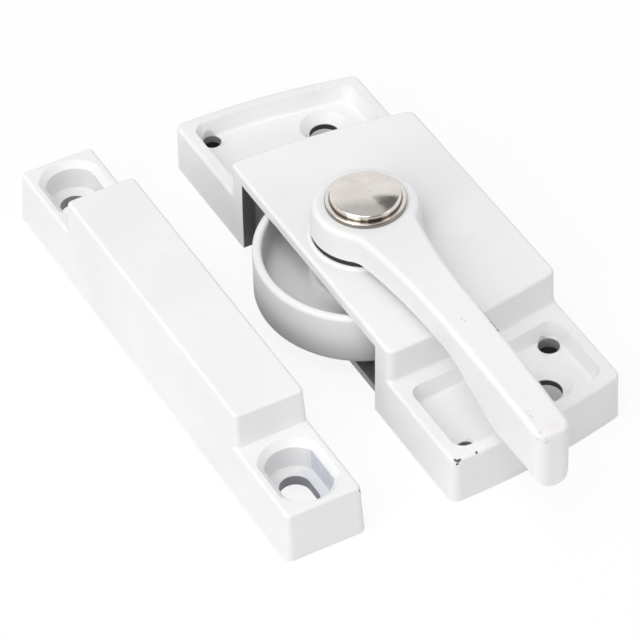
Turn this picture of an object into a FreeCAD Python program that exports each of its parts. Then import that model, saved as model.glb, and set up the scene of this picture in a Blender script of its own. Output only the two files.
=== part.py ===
import FreeCAD, Part
import math
import os
import Sketcher
from FreeCAD import Vector

# Crescent sash lock for a sliding window, with the keeper that its cam hooks into.
# Lengths are in millimetres and angles in degrees. The origin is where the pivot axis meets
# the mounting face. +Z points away from the sash, +Y runs along the lock and -X is the front,
# the side on which the cam comes out towards the keeper.

DIMENSIONS = {
    # Lock housing, a zinc die casting
    "lock_length": 78.0,
    "lock_width": 27.6,
    "pivot_setback": 9.3,
    "flange_height": 7.4,
    "block_height": 12.9,
    "block_length": 44.4,
    "end_bow_radius": 106.0,
    "step_bow_radius": 120.0,
    "bow_crown_setback": 1.5,
    "housing_draft": 1.0,
    "housing_corner_radius": 1.3,
    "housing_edge_radius": 0.5,
    "mouth_length": 37.0,
    "top_wall": 1.6,
    "back_wall": 2.0,
    "end_wall": 2.0,
    # Recessed trays in the two flanges
    "tray_depth": 2.4,
    "tray_rim": 1.9,
    "tray_draft": 18.0,
    "tray_corner_radius": 1.8,
    "tray_floor_radius": 0.5,
    # Cored underside of the two flanges
    "core_depth": 3.2,
    "core_wall": 2.0,
    "core_boss_wall": 1.5,
    # Screw holes of the lock
    "main_hole_spacing": 60.6,
    "main_hole_offset": 10.1,
    "main_hole_diameter": 4.2,
    "main_hole_sink": 7.0,
    "main_hole_sink_angle": 45.0,
    "side_hole_spacing": 48.4,
    "side_hole_offset": 14.1,
    "side_hole_diameter": 3.0,
    "corner_hole_spacing": 70.8,
    "corner_hole_offset": 5.1,
    "corner_hole_diameter": 2.6,
    # Raised collar round the pivot, and the stop rib under the top wall
    "collar_radius": 7.6,
    "collar_height": 0.5,
    "collar_foot_radius": 0.35,
    "stop_radius": 10.5,
    "stop_width": 1.6,
    "stop_height": 2.6,
    "stop_gap_angle": 2.0,
    "peg_half_angle": 8.0,
    # Pivot stack
    "journal_radius": 4.0,
    "bush_wall": 0.9,
    "running_clearance": 0.1,
    "fit_clearance": 0.05,
    "hub_washer_thickness": 0.8,
    "hub_washer_radius": 7.45,
    "thrust_washer_thickness": 0.5,
    "thrust_washer_radius": 6.4,
    "spring_width": 0.9,
    "spring_thickness": 0.6,
    "spring_turns": 2.0,
    "spring_clearance": 0.4,
    "tang_size": 5.4,
    # Handle, a zinc die casting
    "hub_radius": 7.6,
    "hub_top_radius": 7.2,
    "hub_height": 4.2,
    "hub_fillet_radius": 3.0,
    "arm_reach": 49.2,
    "arm_tip_drop": 1.4,
    "arm_root_width": 9.6,
    "arm_root_reach": 5.0,
    "arm_tip_width": 5.2,
    "arm_taper": 0.9,
    "arm_middle_reach": 22.0,
    "arm_neck_reach": 27.5,
    "arm_heel_reach": 39.5,
    "arm_heel_depth": 5.1,
    "arm_pad_depth": 6.6,
    "arm_edge_radius": 0.8,
    "tip_corner_radius": 1.7,
    "knee_radius": 8.7,
    # Cap and pivot screw
    "recess_radius": 4.1,
    "recess_depth": 2.3,
    "pivot_screw_diameter": 3.0,
    "pivot_screw_head": 6.0,
    "pivot_screw_head_height": 1.6,
    "pivot_screw_past_nut": 0.3,
    "trim_radius": 5.55,
    "trim_thickness": 0.6,
    "trim_edge_radius": 0.2,
    "button_radius": 4.8,
    "button_height": 0.8,
    "button_edge_radius": 0.35,
    "button_crown": 0.3,
    "nut_across_flats": 5.5,
    "nut_height": 2.0,
    "lock_washer_thickness": 0.7,
    "lock_washer_radius": 3.4,
    # Crescent cam, a zinc die casting
    "cam_radius": 15.0,
    "cam_eccentricity": 0.5,
    "cam_wall": 1.3,
    "cam_floor": 3.2,
    "cam_floor_radius": 1.6,
    "cam_bottom_height": 2.9,
    "cam_rim_height": 11.0,
    "cam_hub_radius": 7.8,
    "cam_hub_height": 4.3,
    "cam_hub_edge_radius": 0.7,
    "cam_tail": 4.0,
    "cam_foot_radius": 1.2,
    "cam_recess_radius": 4.5,
    "cam_recess_depth": 1.5,
    # Base plate, its screws and the detent spring
    "base_plate_thickness": 1.2,
    "base_plate_setback": 1.6,
    "base_plate_clearance": 0.15,
    "plate_screw_boss": 1.7,
    "plate_screw_inset": 2.1,
    "plate_screw_front_inset": 3.5,
    "plate_screw_back_inset": 2.1,
    "plate_screw_shank": 0.9,
    "plate_screw_head": 1.5,
    "plate_screw_length": 6.0,
    "plate_screw_end_gap": 0.2,
    "screw_slot": 0.4,
    "detent_radius": 11.2,
    "detent_dome_radius": 1.2,
    "detent_dome_height": 0.4,
    "detent_clearance": 0.1,
    "leaf_thickness": 0.4,
    "leaf_width": 4.0,
    "leaf_reach": 12.5,
    "leaf_flat": 6.6,
    "leaf_crest": 2.0,
    "leaf_lip": 1.6,
    "leaf_lip_drop": 0.6,
    "rivet_radius": 0.7,
    "rivet_head_radius": 1.2,
    "rivet_head_height": 0.6,
    "rivet_pitch": 3.0,
    # Keeper, a zinc die casting
    "keeper_length": 78.2,
    "keeper_width": 11.9,
    "keeper_gap": 11.8,
    "keeper_shift": 1.5,
    "keeper_flange_height": 7.8,
    "keeper_block_height": 13.3,
    "keeper_block_length": 50.2,
    "keeper_draft": 3.7,
    "keeper_corner_radius": 0.65,
    "keeper_edge_radius": 0.5,
    "keeper_wall": 1.5,
    "keeper_bore_width": 7.1,
    "keeper_bore_length": 10.2,
    "keeper_bore_spacing": 63.7,
    "keeper_bore_end_radius": 3.95,
    "keeper_bore_depth": 4.3,
    "keeper_bore_chamfer": 0.9,
    "keeper_bore_chamfer_angle": 45.0,
    "keeper_slot_width": 4.3,
    "keeper_slot_length": 6.6,
    "keeper_flange_core": 1.9,
    "keeper_lip_height": 6.5,
    "keeper_mouth_length": 36.0,
}

SHEET_NAME = "dims"
OVERLAP = 0.2            # how far a raised feature starts inside the one that it stands on
RUN_OUT = 0.1            # how far a cut runs past the face that it opens
BUSH_BORE_RUN_OUT = 0.3  # how far the bush's bore runs past the ceiling of the cavity
RIM_SHARE = 0.42         # of the cam's wall, rounded on either side of its rim
NUT_SIDES = 6
HALF_TRAVEL = 90         # half of the angle through which the handle turns
PEG_ANGLE = 90           # the cam's peg stands towards +Y when the handle points towards -Y
SAME = 0.02              # lengths that differ by less count as the same
FLAT = 0.01              # an edge that spans less in a direction lies across it
SHORT = 1                # edges that span less are the small ones between larger faces
AXIS = Vector(0, 0, 1)


class Size:
    """A length or angle that carries both its value and the expression that gives it."""

    def __init__(self, text, value):
        self.text = text
        self.value = value

    def combined(self, sign, other, value):
        return Size("(" + self.text + sign + as_size(other).text + ")", value)

    def __add__(self, other):
        return self.combined(" + ", other, self.value + as_size(other).value)

    def __sub__(self, other):
        return self.combined(" - ", other, self.value - as_size(other).value)

    def __mul__(self, other):
        return self.combined(" * ", other, self.value * as_size(other).value)

    def __truediv__(self, other):
        return self.combined(" / ", other, self.value / as_size(other).value)

    def __neg__(self):
        return Size("(0 - " + self.text + ")", -self.value)

    __radd__ = __add__
    __rmul__ = __mul__


def as_size(value):
    return value if isinstance(value, Size) else Size(str(value), float(value))


def root(size):
    return Size("sqrt(" + size.text + ")", math.sqrt(size.value))


def sine(angle):
    return Size("sin(" + angle.text + " * 1 deg)", math.sin(math.radians(angle.value)))


def cosine(angle):
    return Size("cos(" + angle.text + " * 1 deg)", math.cos(math.radians(angle.value)))


def tangent(angle):
    return Size("tan(" + angle.text + " * 1 deg)", math.tan(math.radians(angle.value)))


class Sizes:
    """The driving dimensions by name, each one a Size that points at its cell."""

    def __init__(self, values):
        for name, value in values.items():
            setattr(self, name, Size(SHEET_NAME + "." + name, value))


doc = FreeCAD.newDocument("sash_lock")
D = Sizes(DIMENSIONS)


def make_sheet():
    sheet = doc.addObject("Spreadsheet::Sheet", SHEET_NAME)
    for row, (name, value) in enumerate(DIMENSIONS.items(), start=1):
        sheet.set("A" + str(row), name)
        sheet.set("B" + str(row), str(value))
        sheet.setAlias("B" + str(row), name)
    doc.recompute()


def bind(thing, path, size):
    thing.setExpression(path, as_size(size).text)


def new_body(name):
    body = doc.addObject("PartDesign::Body", name)
    body.Label = name
    return body


def origin_plane(body, role):
    for feature in body.Origin.OriginFeatures:
        if feature.Role == role:
            return feature
    raise ValueError(role)


def new_sketch(body, name, role="XY_Plane", offset=None):
    """A sketch on one of the body's own origin planes, lifted along its normal by offset."""
    sketch = body.newObject("Sketcher::SketchObject", name)
    sketch.AttachmentSupport = [(origin_plane(body, role), "")]
    sketch.MapMode = "FlatFace"
    if offset is not None:
        bind(sketch, "AttachmentOffset.Base.z", offset)
    return sketch


def measure(sketch, kind, size, *where):
    index = sketch.addConstraint(Sketcher.Constraint(kind, *where, as_size(size).value))
    bind(sketch, "Constraints[" + str(index) + "]", size)


def pin(sketch, geometry, corner, point):
    """Hold one end of an edge at a point, measured from the sketch's own origin."""
    measure(sketch, "DistanceX", point[0], -1, 1, geometry, corner)
    measure(sketch, "DistanceY", point[1], -1, 1, geometry, corner)


def flat(point):
    return Vector(as_size(point[0]).value, as_size(point[1]).value, 0)


def arc_between(start, end, radius, side):
    """The shorter arc from start to end that bulges to the right (1) or left (-1) of the way."""
    chord = end - start
    middle = (start + end) * 0.5
    right = Vector(chord.y, -chord.x, 0).normalize()
    rise = math.sqrt(max(radius ** 2 - (chord.Length / 2) ** 2, 0))
    top = middle + right * (side * (radius - rise))
    return Part.Arc(start, top, end)


def outline(sketch, corners, bows=None):
    """A closed outline through corners. bows gives an edge, by its number, a radius and side."""
    bows = bows or {}
    count = len(corners)
    first = sketch.GeometryCount
    for index in range(count):
        start = flat(corners[index])
        end = flat(corners[(index + 1) % count])
        if index in bows:
            radius, side = bows[index]
            sketch.addGeometry(arc_between(start, end, as_size(radius).value, side))
        else:
            sketch.addGeometry(Part.LineSegment(start, end))
    starts = []
    ends = []
    for index in range(count):
        swapped = index in bows and bows[index][1] < 0
        starts.append(2 if swapped else 1)
        ends.append(1 if swapped else 2)
    for index in range(count):
        following = (index + 1) % count
        sketch.addConstraint(Sketcher.Constraint(
            "Coincident", first + index, ends[index], first + following, starts[following]))
        pin(sketch, first + index, starts[index], corners[index])
    for index, (radius, side) in bows.items():
        measure(sketch, "Radius", radius, first + index)


def circle(sketch, centre, radius):
    geometry = sketch.addGeometry(Part.Circle(flat(centre), AXIS, as_size(radius).value))
    pin(sketch, geometry, 3, centre)
    measure(sketch, "Radius", radius, geometry)


def rectangle(sketch, x_low, x_high, y_low, y_high):
    outline(sketch, [(x_low, y_low), (x_high, y_low), (x_high, y_high), (x_low, y_high)])


def pad(body, name, sketch, length, taper=None, midplane=False):
    feature = body.newObject("PartDesign::Pad", name)
    feature.Profile = sketch
    feature.SideType = "Symmetric" if midplane else "One side"
    bind(feature, "Length", length)
    if taper is not None:
        bind(feature, "TaperAngle", -taper)
    return feature


def pocket(body, name, sketch, depth, upward=False, taper=None):
    """Cut along the sketch's normal reversed, or along the normal when upward."""
    feature = body.newObject("PartDesign::Pocket", name)
    feature.Profile = sketch
    feature.Reversed = upward
    bind(feature, "Length", depth)
    if taper is not None:
        bind(feature, "TaperAngle", -taper)
    check_removes(body, feature)
    return feature


def settle(feature):
    """Recompute, and stop with the name of whatever has not built."""
    doc.recompute()
    for thing in doc.Objects:
        if "Invalid" in thing.State or "Error" in thing.State:
            raise RuntimeError(thing.Label + " did not build: " + thing.getStatusString())
    if feature.Shape.isNull():
        raise RuntimeError(feature.Label + " has no shape")


def check_removes(body, feature):
    settle(feature)
    before = feature.BaseFeature.Shape.Volume
    after = feature.Shape.Volume
    if not after < before - 1e-3:
        raise RuntimeError(body.Label + ": " + feature.Label + " removes nothing")


def revolve(body, name, sketch, cut=False):
    kind = "PartDesign::Groove" if cut else "PartDesign::Revolution"
    feature = body.newObject(kind, name)
    feature.Profile = sketch
    feature.ReferenceAxis = (sketch, ["V_Axis"])
    feature.Angle = 360.0
    return feature


def edge_names(feature, wanted):
    doc.recompute()
    edges = enumerate(feature.Shape.Edges, start=1)
    return ["Edge" + str(number) for number, edge in edges if wanted(edge)]


def fillet(body, name, base, radius, wanted):
    feature = body.newObject("PartDesign::Fillet", name)
    feature.Base = (base, edge_names(base, wanted))
    bind(feature, "Radius", radius)
    settle(feature)
    return feature


def chamfer(body, name, base, size, wanted):
    feature = body.newObject("PartDesign::Chamfer", name)
    feature.Base = (base, edge_names(base, wanted))
    bind(feature, "Size", size)
    settle(feature)
    return feature


def near(value, target, slack=SAME):
    return abs(value - target) < slack


def level_at(edge, height, slack=SAME):
    box = edge.BoundBox
    return near(box.ZMin, height, slack) and near(box.ZMax, height, slack)


def is_circle(edge, radius, height):
    """True for a level circle about the pivot's axis."""
    return level_at(edge, height) and near(edge.BoundBox.XLength, 2 * radius)


# Heights and places that several pieces share
FRONT = -D.pivot_setback
BACK = D.lock_width - D.pivot_setback
CEILING = D.block_height - D.top_wall
COLLAR_TOP = D.block_height + D.collar_height
HUB_BOTTOM = COLLAR_TOP + D.hub_washer_thickness + D.running_clearance
HUB_TOP = HUB_BOTTOM + D.hub_height
CAM_HUB_TOP = D.cam_bottom_height + D.cam_hub_height
CAM_FLOOR_TOP = D.cam_bottom_height + D.cam_floor
TRAY_FLOOR = D.flange_height - D.tray_depth
BUSH_RADIUS = D.journal_radius + D.running_clearance + D.bush_wall
BOW_X = FRONT + D.bow_crown_setback
PLATE_SCREW_Y = D.mouth_length / 2 - D.plate_screw_inset
PLATE_SCREWS = [
    (FRONT + D.plate_screw_front_inset, PLATE_SCREW_Y, 1),
    (FRONT + D.plate_screw_front_inset, -PLATE_SCREW_Y, -1),
    (BACK - D.back_wall - D.plate_screw_back_inset, PLATE_SCREW_Y, 1),
    (BACK - D.back_wall - D.plate_screw_back_inset, -PLATE_SCREW_Y, -1),
]


def bow_at(x, crown, radius):
    """Where a bowed wall stands at x, as a distance from the middle of the lock."""
    reach = x - BOW_X
    return crown - radius + root(radius * radius - reach * reach)


def eased_corner(wall_x, inward, crown, radius, corner, bow_is_outside=True):
    """Where a round corner leaves a straight wall at wall_x and where it meets a bowed wall.

    The corner touches the bow from within, or from outside where the field lies beyond it.
    """
    bow_y = crown - radius
    reach = radius - corner if bow_is_outside else radius + corner
    corner_x = wall_x + corner * inward
    offset = corner_x - BOW_X
    rise = root(reach * reach - offset * offset)
    share = radius / reach
    return (wall_x, bow_y + rise), (BOW_X + offset * share, bow_y + rise * share)


def mirrored(point, end):
    return point[0], point[1] * end


def bowed_block(sketch, crown, radius):
    """The lock's plan: straight front and back, and an end at each side that bows out."""
    corner = D.housing_corner_radius
    front_wall, front_bow = eased_corner(FRONT, 1, crown, radius, corner)
    back_wall, back_bow = eased_corner(BACK, -1, crown, radius, corner)
    corners = [
        mirrored(front_wall, -1), mirrored(front_bow, -1), mirrored(back_bow, -1),
        mirrored(back_wall, -1), back_wall, back_bow, front_bow, front_wall,
    ]
    outline(sketch, corners, {
        0: (corner, 1), 1: (radius, 1), 2: (corner, 1),
        4: (corner, 1), 5: (radius, 1), 6: (corner, 1),
    })


def tray_field(sketch, end):
    """The plan of a tray at the +Y (1) or -Y (-1) end, a rim's width inside its flange."""
    rim = D.tray_rim
    corner = D.tray_corner_radius
    low_x = FRONT + rim
    high_x = BACK - rim
    outer = (D.lock_length / 2 - rim, D.end_bow_radius - rim)
    inner = (D.block_length / 2 + rim, D.step_bow_radius + rim)
    points = []
    for wall_x, inward in ((low_x, 1), (high_x, -1)):
        wall, bow = eased_corner(wall_x, inward, *inner, corner, bow_is_outside=False)
        points += [wall, bow] if inward > 0 else [bow, wall]
    for wall_x, inward in ((high_x, -1), (low_x, 1)):
        wall, bow = eased_corner(wall_x, inward, *outer, corner)
        points += [wall, bow] if inward < 0 else [bow, wall]
    outline(sketch, [mirrored(point, end) for point in points], {
        0: (corner, end), 1: (inner[1], -end), 2: (corner, end),
        4: (corner, end), 5: (outer[1], end), 6: (corner, end),
    })


def make_housing():
    body = new_body("housing")

    sketch = new_sketch(body, "housing_plan")
    bowed_block(sketch, D.lock_length / 2, D.end_bow_radius)
    pad(body, "housing_flanges", sketch, D.flange_height, D.housing_draft)

    sketch = new_sketch(body, "block_plan")
    bowed_block(sketch, D.block_length / 2, D.step_bow_radius)
    block = pad(body, "housing_block", sketch, D.block_height, D.housing_draft)

    def top_rim(edge):
        box = edge.BoundBox
        middle = (box.YMin + box.YMax) / 2
        at_step = abs(middle) < D.block_length.value / 2 and box.YLength < box.XLength
        return (level_at(edge, D.block_height.value)
                or level_at(edge, D.flange_height.value) and not at_step)
    fillet(body, "housing_rim", block, D.housing_edge_radius, top_rim)

    for end, side in ((1, "far"), (-1, "near")):
        sketch = new_sketch(body, side + "_tray_plan", offset=D.flange_height)
        tray_field(sketch, end)
        tray = pocket(body, side + "_tray", sketch, D.tray_depth, taper=D.tray_draft)

        def tray_floor(edge, end=end):
            return level_at(edge, TRAY_FLOOR.value) and edge.CenterOfMass.y * end > 0
        fillet(body, side + "_tray_floor", tray, D.tray_floor_radius, tray_floor)

    sketch = new_sketch(body, "cavity_plan")
    rectangle(sketch, FRONT - D.back_wall, BACK - D.back_wall,
              -D.mouth_length / 2, D.mouth_length / 2)
    pocket(body, "cavity", sketch, CEILING, upward=True)

    for end, side in ((1, "far"), (-1, "near")):
        sketch = new_sketch(body, side + "_core_plan")
        inner = D.mouth_length / 2 + D.end_wall
        low = bow_at(FRONT + D.core_wall, D.lock_length / 2 - D.core_wall, D.end_bow_radius)
        high = bow_at(BACK - D.core_wall, D.lock_length / 2 - D.core_wall, D.end_bow_radius)
        corners = [(FRONT + D.core_wall, inner * end), (BACK - D.core_wall, inner * end),
                   (BACK - D.core_wall, high * end), (FRONT + D.core_wall, low * end)]
        outline(sketch, corners, {2: (D.end_bow_radius, end)})
        pocket(body, side + "_core", sketch, D.core_depth, upward=True)

    sketch = new_sketch(body, "core_boss_plan")
    for end in (1, -1):
        circle(sketch, (D.main_hole_offset, D.main_hole_spacing / 2 * end),
               D.main_hole_diameter / 2 + D.core_boss_wall)
    pad(body, "core_bosses", sketch, D.core_depth + OVERLAP)
    for name, x, spacing, diameter in (
            ("side", D.side_hole_offset, D.side_hole_spacing, D.side_hole_diameter),
            ("corner", -D.corner_hole_offset, D.corner_hole_spacing, D.corner_hole_diameter)):
        sketch = new_sketch(body, name + "_boss_plan")
        for end in (1, -1):
            circle(sketch, (x, spacing / 2 * end), diameter / 2 + D.core_boss_wall)
        pad(body, name + "_bosses", sketch, D.core_depth + OVERLAP)

    sketch = new_sketch(body, "collar_plan", offset=D.block_height - OVERLAP)
    circle(sketch, (0, 0), D.collar_radius)
    collar = pad(body, "collar", sketch, D.collar_height + OVERLAP)

    def collar_foot(edge):
        return level_at(edge, D.block_height.value) and near(
            edge.BoundBox.XLength, 2 * D.collar_radius.value, 0.05)
    fillet(body, "collar_foot", collar, D.collar_foot_radius, collar_foot)

    post_height = CEILING - D.base_plate_thickness + OVERLAP
    sketch = new_sketch(body, "plate_boss_plan", offset=D.base_plate_thickness)
    for x, y, _ in PLATE_SCREWS:
        circle(sketch, (x, y), D.plate_screw_boss)
    pad(body, "plate_bosses", sketch, post_height)
    sketch = new_sketch(body, "plate_boss_web_plan", offset=D.base_plate_thickness)
    wall = D.mouth_length / 2 + OVERLAP
    for x, y, end in PLATE_SCREWS:
        reach = D.plate_screw_boss
        outline(sketch, [(x - reach, y), (x + reach, y), (x + reach, wall * end),
                         (x - reach, wall * end)])
    pad(body, "plate_boss_webs", sketch, post_height)

    sketch = new_sketch(body, "stop_plan", offset=CEILING - D.stop_height)
    stop_half_angle = as_size(HALF_TRAVEL) - D.peg_half_angle - D.stop_gap_angle
    ring_sector(sketch, D.stop_radius, D.stop_width, as_size(0), stop_half_angle)
    pad(body, "stop_rib", sketch, D.stop_height + OVERLAP)

    sketch = new_sketch(body, "bush_bore_plan", offset=COLLAR_TOP)
    circle(sketch, (0, 0), BUSH_RADIUS)
    pocket(body, "bush_bore", sketch, COLLAR_TOP - CEILING + BUSH_BORE_RUN_OUT)

    sketch = new_sketch(body, "plate_pilot_plan", offset=D.base_plate_thickness)
    for x, y, _ in PLATE_SCREWS:
        circle(sketch, (x, y), D.plate_screw_shank)
    pocket(body, "plate_pilots", sketch, D.plate_screw_length, upward=True)

    for name, x, spacing, diameter in (
            ("main", D.main_hole_offset, D.main_hole_spacing, D.main_hole_diameter),
            ("side", D.side_hole_offset, D.side_hole_spacing, D.side_hole_diameter),
            ("corner", -D.corner_hole_offset, D.corner_hole_spacing, D.corner_hole_diameter)):
        sketch = new_sketch(body, name + "_hole_plan", offset=D.flange_height)
        for end in (1, -1):
            circle(sketch, (x, spacing / 2 * end), diameter / 2)
        pocket(body, name + "_holes", sketch, D.flange_height + RUN_OUT)
    sketch = new_sketch(body, "main_hole_sink_plan", offset=TRAY_FLOOR)
    for end in (1, -1):
        circle(sketch, (D.main_hole_offset, D.main_hole_spacing / 2 * end), D.main_hole_sink / 2)
    pocket(body, "main_hole_sinks", sketch, (D.main_hole_sink - D.main_hole_diameter) / 2,
           taper=D.main_hole_sink_angle)


def ring_sector(sketch, middle, width, centre_angle, half_angle):
    """A band of a ring about the pivot, spread evenly to both sides of an angle."""
    outer = middle + width / 2
    inner = middle - width / 2
    first = centre_angle - half_angle
    last = centre_angle + half_angle
    corners = [
        (outer * cosine(first), outer * sine(first)),
        (outer * cosine(last), outer * sine(last)),
        (inner * cosine(last), inner * sine(last)),
        (inner * cosine(first), inner * sine(first)),
    ]
    outline(sketch, corners, {0: (outer, 1), 2: (inner, -1)})


def make_base_plate():
    body = new_body("base_plate")
    gap = D.base_plate_clearance
    sketch = new_sketch(body, "plate_plan")
    rectangle(sketch, FRONT + D.base_plate_setback, BACK - D.back_wall - gap,
              -D.mouth_length / 2 + gap, D.mouth_length / 2 - gap)
    pad(body, "plate", sketch, D.base_plate_thickness)

    sketch = new_sketch(body, "screw_hole_plan", offset=D.base_plate_thickness)
    for x, y, _ in PLATE_SCREWS:
        circle(sketch, (x, y), D.plate_screw_shank + D.running_clearance)
    pocket(body, "screw_holes", sketch, D.base_plate_thickness + RUN_OUT)

    sketch = new_sketch(body, "rivet_hole_plan", offset=D.base_plate_thickness)
    for x, y in rivet_places():
        circle(sketch, (x, y), D.rivet_radius + D.fit_clearance)
    holes = pocket(body, "rivet_holes", sketch, D.base_plate_thickness + RUN_OUT)

    def sink_edge(edge):
        return level_at(edge, 0) and near(
            edge.BoundBox.XLength, 2 * (D.plate_screw_shank + D.running_clearance).value)
    chamfer(body, "screw_sinks", holes,
            D.plate_screw_head - D.plate_screw_shank, sink_edge)


def rivet_places():
    middle = D.leaf_reach - D.leaf_flat / 2
    half = D.rivet_pitch / 2
    return [(middle - half, D.detent_radius), (middle + half, D.detent_radius)]


def turned_body(name, profile):
    """A turned piece about the pivot axis. profile lists radius and height corners."""
    body = new_body(name)
    sketch = new_sketch(body, name + "_profile", "XZ_Plane")
    outline(sketch, profile)
    feature = revolve(body, name + "_turned", sketch)
    return body, feature


def ring_profile(inner, outer, low, high):
    return [(inner, low), (outer, low), (outer, high), (inner, high)]


def make_washers_and_bush():
    turned_body("pivot_bush", ring_profile(
        D.journal_radius + D.running_clearance, BUSH_RADIUS - D.fit_clearance,
        CEILING, COLLAR_TOP))
    turned_body("hub_washer", ring_profile(
        D.journal_radius + D.running_clearance, D.hub_washer_radius,
        COLLAR_TOP, COLLAR_TOP + D.hub_washer_thickness))
    turned_body("thrust_washer", ring_profile(
        D.journal_radius + D.running_clearance, D.thrust_washer_radius,
        CEILING - D.thrust_washer_thickness, CEILING))
    recess_roof = D.cam_bottom_height + D.cam_recess_depth
    turned_body("lock_washer", ring_profile(
        D.pivot_screw_diameter / 2 + D.running_clearance, D.lock_washer_radius,
        recess_roof - D.lock_washer_thickness, recess_roof))


def make_coil_spring():
    body = new_body("coil_spring")
    low = CAM_HUB_TOP + D.fit_clearance
    high = CEILING - D.thrust_washer_thickness - D.spring_thickness - D.fit_clearance
    inner = D.journal_radius + D.spring_clearance
    sketch = new_sketch(body, "wire_section", "XZ_Plane")
    rectangle(sketch, inner, inner + D.spring_width, low, low + D.spring_thickness)
    spring = body.newObject("PartDesign::AdditiveHelix", "coils")
    spring.Profile = sketch
    spring.ReferenceAxis = (sketch, ["V_Axis"])
    spring.Mode = "height-turns-angle"
    bind(spring, "Height", high - low)
    bind(spring, "Turns", D.spring_turns)
    spring.Angle = 0.0


def make_pivot_screw():
    end = D.cam_bottom_height + D.cam_recess_depth - D.lock_washer_thickness - D.nut_height \
        - D.pivot_screw_past_nut
    turned_body("pivot_screw", [
        (0, end),
        (D.pivot_screw_diameter / 2, end),
        (D.pivot_screw_diameter / 2, HUB_TOP - D.recess_depth),
        (D.pivot_screw_head / 2, HUB_TOP - D.recess_depth),
        (D.pivot_screw_head / 2, HUB_TOP - D.recess_depth + D.pivot_screw_head_height),
        (0, HUB_TOP - D.recess_depth + D.pivot_screw_head_height),
    ])


def make_pivot_nut():
    body = new_body("pivot_nut")
    top = D.cam_bottom_height + D.cam_recess_depth - D.lock_washer_thickness
    sketch = new_sketch(body, "nut_plan", offset=top - D.nut_height)
    reach = D.nut_across_flats / 2 / cosine(as_size(180 / NUT_SIDES))
    corners = []
    for side in range(NUT_SIDES):
        angle = as_size(360 / NUT_SIDES * side)
        corners.append((reach * cosine(angle), reach * sine(angle)))
    outline(sketch, corners)
    circle(sketch, (0, 0), D.pivot_screw_diameter / 2 + D.fit_clearance)
    pad(body, "nut", sketch, D.nut_height)


def make_cap():
    seat = HUB_TOP + D.trim_thickness
    trim, ring = turned_body("trim_washer", ring_profile(
        D.recess_radius, D.trim_radius, HUB_TOP, seat))
    fillet(trim, "trim_edge", ring, D.trim_edge_radius,
           lambda edge: is_circle(edge, D.trim_radius.value, seat.value))
    plug = D.recess_radius - D.fit_clearance
    body = new_body("cap_button")
    sketch = new_sketch(body, "button_profile", "XZ_Plane")
    top = seat + D.button_height
    crown = D.button_crown
    dome = (D.button_radius * D.button_radius + crown * crown) / (crown * 2)
    low = HUB_TOP - D.recess_depth + D.pivot_screw_head_height + D.running_clearance
    outline(sketch, [(0, low), (plug, low), (plug, seat), (D.button_radius, seat),
                     (D.button_radius, top), (0, top + crown)], {4: (dome, 1)})
    button = revolve(body, "button", sketch)
    fillet(body, "button_edge", button, D.button_edge_radius,
           lambda edge: is_circle(edge, D.button_radius.value, top.value))


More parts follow.
